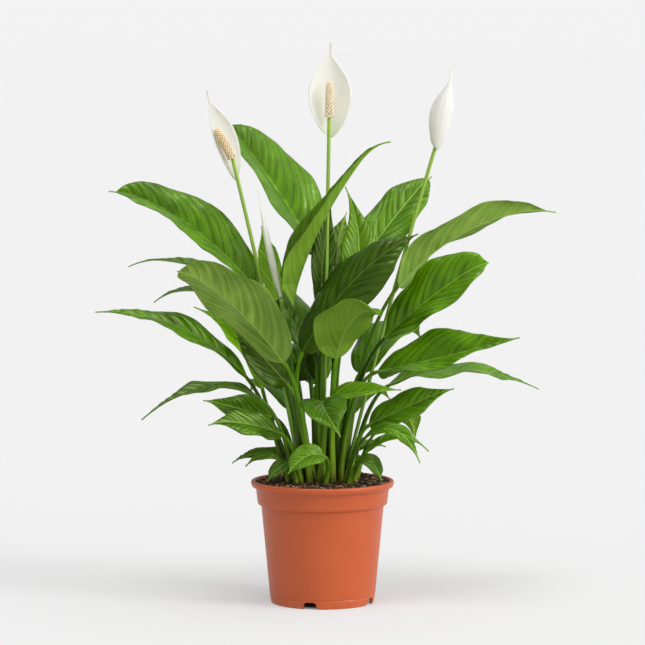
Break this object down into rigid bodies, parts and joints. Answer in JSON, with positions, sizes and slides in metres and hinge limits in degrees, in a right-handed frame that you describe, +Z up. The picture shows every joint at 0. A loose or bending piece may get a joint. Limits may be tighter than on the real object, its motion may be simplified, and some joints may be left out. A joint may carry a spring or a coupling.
{
  "type": "potted peace lily",
  "caption": "Peace lily with arching glossy leaves and white spathes on upright stalks, growing in soil in a round tapered plastic nursery pot with a rolled lip and drain notches.",
  "frame": {"origin": "centre of the pot's base, on the ground", "axes": "+Z up along the pot's axis, the plant's front, with the widest drain notch and the open flowers, faces -Y, +X to the right seen from the front"},
  "size_m": [0.5522, 0.2497, 0.6651],
  "materials": {
    "pot_plastic": "satin",
    "soil": "matte",
    "leaf": "satin",
    "flower_stalk": "satin",
    "spathe": "matte",
    "spadix": "matte"
  },
  "bodies": {
    "root": {"pot": "pot_plastic", "soil": "soil", "leaf_top_1": "leaf", "leaf_top_2": "leaf", "leaf_top_3": "leaf", "leaf_top_4": "leaf", "leaf_top_5": "leaf", "leaf_left_1": "leaf", "leaf_left_2": "leaf", "leaf_left_3": "leaf", "leaf_left_4": "leaf", "leaf_left_5": "leaf", "leaf_left_6": "leaf", "leaf_left_7": "leaf", "leaf_left_8": "leaf", "leaf_left_9": "leaf", "leaf_left_10": "leaf", "leaf_left_11": "leaf", "leaf_left_12": "leaf", "leaf_left_13": "leaf", "leaf_left_14": "leaf", "leaf_front_1": "leaf", "leaf_front_2": "leaf", "leaf_front_3": "leaf", "leaf_front_4": "leaf", "leaf_right_1": "leaf", "leaf_right_2": "leaf", "leaf_right_3": "leaf", "leaf_right_4": "leaf", "leaf_right_5": "leaf", "leaf_right_6": "leaf", "leaf_right_7": "leaf", "leaf_right_8": "leaf", "leaf_right_9": "leaf", "leaf_right_10": "leaf", "leaf_right_11": "leaf", "leaf_right_12": "leaf", "leaf_right_13": "leaf", "leaf_mid_1": "leaf", "leaf_mid_2": "leaf", "leaf_back_1": "leaf", "leaf_back_2": "leaf", "leaf_back_3": "leaf", "leaf_back_4": "leaf", "leaf_back_5": "leaf", "leaf_back_6": "leaf", "stalk_left": "flower_stalk", "spathe_left": "spathe", "spadix_left": "spadix", "stalk_centre": "flower_stalk", "spathe_centre": "spathe", "spadix_centre": "spadix", "stalk_right": "flower_stalk", "spathe_right": "spathe", "spadix_right": "spadix", "stalk_bud": "flower_stalk", "spathe_bud": "spathe"}
  },
  "joints": []
}
